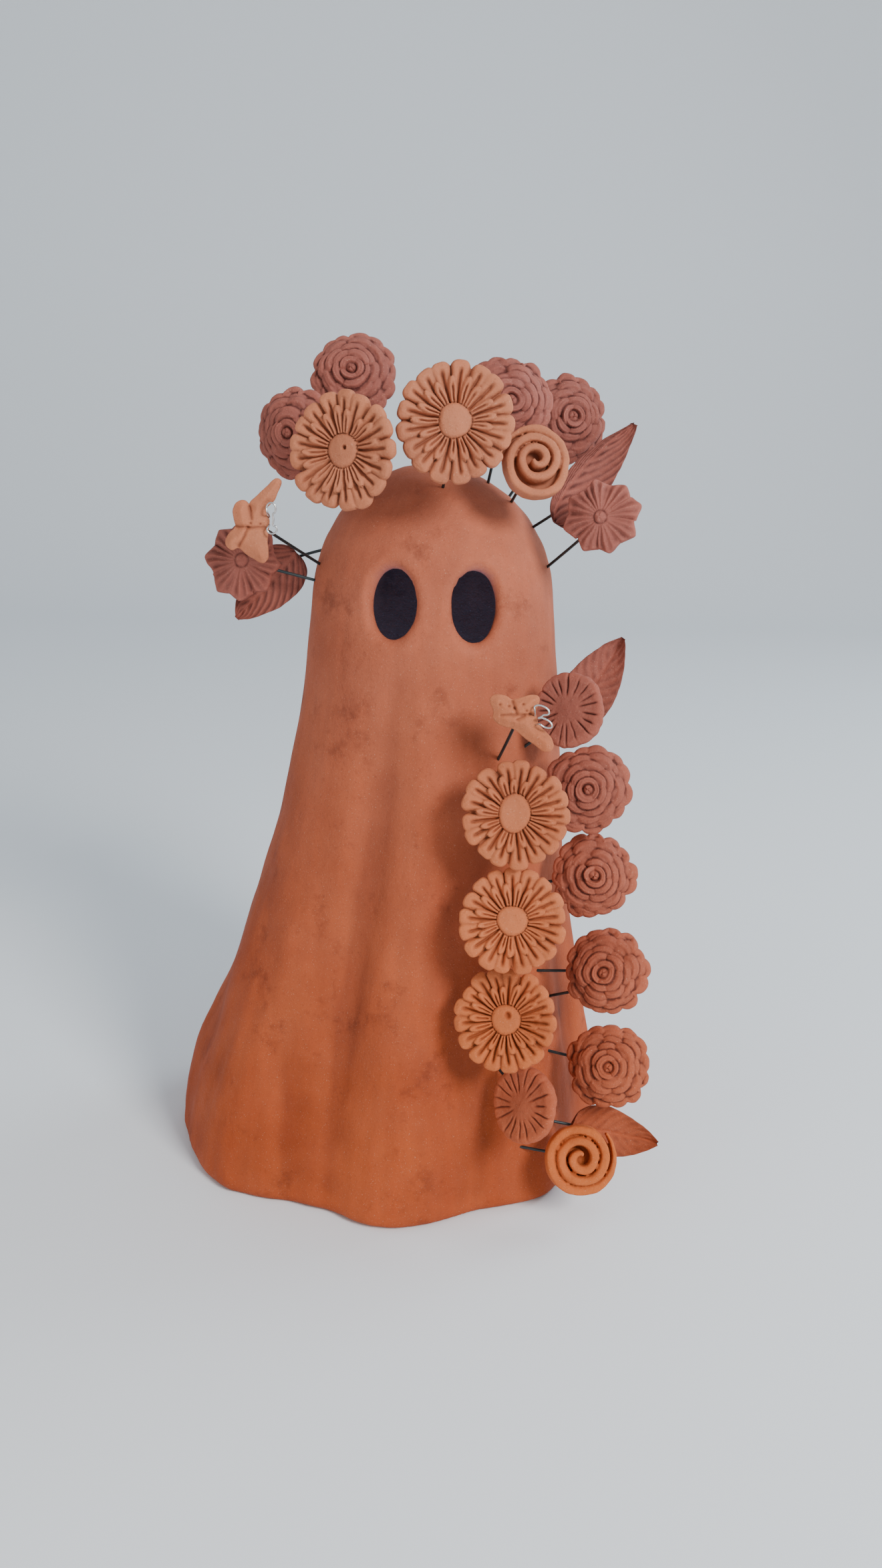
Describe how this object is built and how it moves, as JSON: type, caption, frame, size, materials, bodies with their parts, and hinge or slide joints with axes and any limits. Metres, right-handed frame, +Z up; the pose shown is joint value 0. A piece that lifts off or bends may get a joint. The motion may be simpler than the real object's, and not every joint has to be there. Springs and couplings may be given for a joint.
{
  "type": "clay ghost tree of life",
  "caption": "Hollow clay ghost with two eye holes, decorated with clay flowers, leaves and butterflies on springy wire stems, open underneath.",
  "frame": {"origin": "middle of the object's box, on the surface it stands on", "axes": "+Z up, the ghost's face looks along -Y, its cascade of flowers is on the +X side"},
  "size_m": [0.2075, 0.1723, 0.3453],
  "materials": {
    "body_terracotta": "unglazed, matt, burnished by hand",
    "light_clay": "unglazed, matt",
    "red_clay": "unglazed, matt",
    "fired_iron": "dark fired iron wire",
    "bright_wire": "bright wire"
  },
  "bodies": {
    "ghost": {"ghost_body": "body_terracotta"},
    "crown_daisy_left": {"crown_daisy_left": "light_clay", "crown_daisy_left_stem": "fired_iron"},
    "crown_daisy_front": {"crown_daisy_front": "light_clay", "crown_daisy_front_stem": "fired_iron"},
    "crown_pompon_top": {"crown_pompon_top": "red_clay", "crown_pompon_top_stem": "fired_iron"},
    "crown_pompon_left": {"crown_pompon_left": "red_clay", "crown_pompon_left_stem": "fired_iron"},
    "crown_pompon_right": {"crown_pompon_right": "red_clay", "crown_pompon_right_stem": "fired_iron"},
    "crown_pompon_far_right": {"crown_pompon_far_right": "red_clay", "crown_pompon_far_right_stem": "fired_iron"},
    "crown_spiral_rose": {"crown_spiral_rose": "light_clay", "crown_spiral_rose_stem": "fired_iron"},
    "crown_leaf": {"crown_leaf": "red_clay", "crown_leaf_stem": "fired_iron"},
    "crown_bellflower": {"crown_bellflower": "red_clay", "crown_bellflower_stem": "fired_iron"},
    "left_butterfly": {"left_butterfly": "light_clay", "left_butterfly_antennae": "bright_wire", "left_butterfly_stem": "fired_iron"},
    "left_bellflower": {"left_bellflower": "red_clay", "left_bellflower_stem": "fired_iron"},
    "left_leaf": {"left_leaf": "red_clay", "left_leaf_stem": "fired_iron"},
    "cascade_leaf_upper": {"cascade_leaf_upper": "red_clay", "cascade_leaf_upper_stem": "fired_iron"},
    "cascade_button_upper": {"cascade_button_upper": "red_clay", "cascade_button_upper_stem": "fired_iron"},
    "cascade_butterfly": {"cascade_butterfly": "light_clay", "cascade_butterfly_antennae": "bright_wire", "cascade_butterfly_stem": "fired_iron"},
    "cascade_daisy_1": {"cascade_daisy_1": "light_clay", "cascade_daisy_1_stem": "fired_iron"},
    "cascade_daisy_2": {"cascade_daisy_2": "light_clay", "cascade_daisy_2_stem": "fired_iron"},
    "cascade_daisy_3": {"cascade_daisy_3": "light_clay", "cascade_daisy_3_stem": "fired_iron"},
    "cascade_pompon_1": {"cascade_pompon_1": "red_clay", "cascade_pompon_1_stem": "fired_iron"},
    "cascade_pompon_2": {"cascade_pompon_2": "red_clay", "cascade_pompon_2_stem": "fired_iron"},
    "cascade_pompon_3": {"cascade_pompon_3": "red_clay", "cascade_pompon_3_brace": "fired_iron", "cascade_pompon_3_stem": "fired_iron"},
    "cascade_pompon_4": {"cascade_pompon_4": "red_clay", "cascade_pompon_4_stem": "fired_iron"},
    "cascade_button_lower": {"cascade_button_lower": "red_clay", "cascade_button_lower_stem": "fired_iron"},
    "cascade_leaf_lower": {"cascade_leaf_lower": "red_clay", "cascade_leaf_lower_stem": "fired_iron"},
    "cascade_spiral_rose": {"cascade_spiral_rose": "light_clay", "cascade_spiral_rose_stem": "fired_iron"}
  },
  "joints": [
    {"name": "crown_daisy_left_nod", "type": "hinge", "parent": "ghost", "child": "crown_daisy_left", "pos_m": [-0.01947, -0.00588, 0.282], "axis": [0.977, -0.2132, 0], "range_deg": [-2.5, 2.5], "stiffness_Nm_per_rad": 1.4},
    {"name": "crown_daisy_front_nod", "type": "hinge", "parent": "ghost", "child": "crown_daisy_front", "pos_m": [0.01052, -0.01209, 0.288], "axis": [0.9943, 0.1067, 0], "range_deg": [-2.5, 2.5], "stiffness_Nm_per_rad": 1.4},
    {"name": "crown_pompon_top_nod", "type": "hinge", "parent": "ghost", "child": "crown_pompon_top", "pos_m": [-0.01825, 0.01557, 0.287], "axis": [0.913, -0.4079, 0], "range_deg": [-2.5, 2.5], "stiffness_Nm_per_rad": 1.4},
    {"name": "crown_pompon_left_nod", "type": "hinge", "parent": "ghost", "child": "crown_pompon_left", "pos_m": [-0.02858, 0.00276, 0.277], "axis": [0.7971, -0.6039, 0], "range_deg": [-2.5, 2.5], "stiffness_Nm_per_rad": 1.4},
    {"name": "crown_pompon_right_nod", "type": "hinge", "parent": "ghost", "child": "crown_pompon_right", "pos_m": [0.0292, 0.00523, 0.288], "axis": [0.9763, 0.2162, 0], "range_deg": [-2.5, 2.5], "stiffness_Nm_per_rad": 1.4},
    {"name": "crown_pompon_far_right_nod", "type": "hinge", "parent": "ghost", "child": "crown_pompon_far_right", "pos_m": [0.03791, 0.01592, 0.282], "axis": [0.6231, 0.7822, 0], "range_deg": [-2.5, 2.5], "stiffness_Nm_per_rad": 1.4},
    {"name": "crown_spiral_rose_nod", "type": "hinge", "parent": "ghost", "child": "crown_spiral_rose", "pos_m": [0.0389, 0.00478, 0.281], "axis": [0.9889, 0.1484, 0], "range_deg": [-2.5, 2.5], "stiffness_Nm_per_rad": 1.4},
    {"name": "crown_leaf_nod", "type": "hinge", "parent": "ghost", "child": "crown_leaf", "pos_m": [0.04766, 0.00596, 0.271], "axis": [0.893, 0.45, 0], "range_deg": [-2.5, 2.5], "stiffness_Nm_per_rad": 1.4},
    {"name": "crown_bellflower_nod", "type": "hinge", "parent": "ghost", "child": "crown_bellflower", "pos_m": [0.05408, 0.00075, 0.255], "axis": [0.9635, 0.2676, 0], "range_deg": [-2.5, 2.5], "stiffness_Nm_per_rad": 1.4},
    {"name": "left_butterfly_nod", "type": "hinge", "parent": "ghost", "child": "left_butterfly", "pos_m": [-0.03938, 0.00129, 0.2545], "axis": [0.9475, -0.3199, 0], "range_deg": [-2.5, 2.5], "stiffness_Nm_per_rad": 1.4},
    {"name": "left_bellflower_nod", "type": "hinge", "parent": "ghost", "child": "left_bellflower", "pos_m": [-0.04076, 0.00197, 0.248], "axis": [0.5182, -0.8553, 0], "range_deg": [-2.5, 2.5], "stiffness_Nm_per_rad": 1.4},
    {"name": "left_leaf_nod", "type": "hinge", "parent": "ghost", "child": "left_leaf", "pos_m": [-0.03859, 0.00947, 0.261], "axis": [-0.0793, -0.9968, 0], "range_deg": [-2.5, 2.5], "stiffness_Nm_per_rad": 1.4},
    {"name": "cascade_leaf_upper_swing", "type": "hinge", "parent": "ghost", "child": "cascade_leaf_upper", "pos_m": [0.05677, -0.0124, 0.186], "axis": [0, 0, 1], "range_deg": [-2.5, 2.5], "stiffness_Nm_per_rad": 1.4},
    {"name": "cascade_button_upper_swing", "type": "hinge", "parent": "ghost", "child": "cascade_button_upper", "pos_m": [0.04444, -0.02997, 0.187], "axis": [0, 0, 1], "range_deg": [-2.5, 2.5], "stiffness_Nm_per_rad": 1.4},
    {"name": "cascade_butterfly_swing", "type": "hinge", "parent": "ghost", "child": "cascade_butterfly", "pos_m": [0.03488, -0.03733, 0.184], "axis": [0, 0, 1], "range_deg": [-2.5, 2.5], "stiffness_Nm_per_rad": 1.4},
    {"name": "cascade_daisy_1_swing", "type": "hinge", "parent": "ghost", "child": "cascade_daisy_1", "pos_m": [0.0398, -0.0365, 0.165], "axis": [0, 0, 1], "range_deg": [-2.5, 2.5], "stiffness_Nm_per_rad": 1.4},
    {"name": "cascade_daisy_2_swing", "type": "hinge", "parent": "ghost", "child": "cascade_daisy_2", "pos_m": [0.03916, -0.04397, 0.124], "axis": [0, 0, 1], "range_deg": [-2.5, 2.5], "stiffness_Nm_per_rad": 1.4},
    {"name": "cascade_daisy_3_swing", "type": "hinge", "parent": "ghost", "child": "cascade_daisy_3", "pos_m": [0.035, -0.05133, 0.086], "axis": [0, 0, 1], "range_deg": [-2.5, 2.5], "stiffness_Nm_per_rad": 1.4},
    {"name": "cascade_pompon_1_swing", "type": "hinge", "parent": "ghost", "child": "cascade_pompon_1", "pos_m": [0.05038, -0.02557, 0.17], "axis": [0, 0, 1], "range_deg": [-2.5, 2.5], "stiffness_Nm_per_rad": 1.4},
    {"name": "cascade_pompon_2_swing", "type": "hinge", "parent": "ghost", "child": "cascade_pompon_2", "pos_m": [0.05115, -0.03196, 0.132], "axis": [0, 0, 1], "range_deg": [-2.5, 2.5], "stiffness_Nm_per_rad": 1.4},
    {"name": "cascade_pompon_3_swing", "type": "hinge", "parent": "ghost", "child": "cascade_pompon_3", "pos_m": [0.05303, -0.03912, 0.097], "axis": [-0.379, -0.3167, 0.8695], "range_deg": [-2.5, 2.5], "stiffness_Nm_per_rad": 1.4},
    {"name": "cascade_pompon_4_swing", "type": "hinge", "parent": "ghost", "child": "cascade_pompon_4", "pos_m": [0.05856, -0.04203, 0.063], "axis": [0, 0, 1], "range_deg": [-2.5, 2.5], "stiffness_Nm_per_rad": 1.4},
    {"name": "cascade_button_lower_swing", "type": "hinge", "parent": "ghost", "child": "cascade_button_lower", "pos_m": [0.03629, -0.05488, 0.063], "axis": [0, 0, 1], "range_deg": [-2.5, 2.5], "stiffness_Nm_per_rad": 1.4},
    {"name": "cascade_leaf_lower_swing", "type": "hinge", "parent": "ghost", "child": "cascade_leaf_lower", "pos_m": [0.05873, -0.05044, 0.035], "axis": [0, 0, 1], "range_deg": [-2.5, 2.5], "stiffness_Nm_per_rad": 1.4},
    {"name": "cascade_spiral_rose_swing", "type": "hinge", "parent": "ghost", "child": "cascade_spiral_rose", "pos_m": [0.04644, -0.0589, 0.027], "axis": [0, 0, 1], "range_deg": [-2.5, 2.5], "stiffness_Nm_per_rad": 1.4}
  ]
}
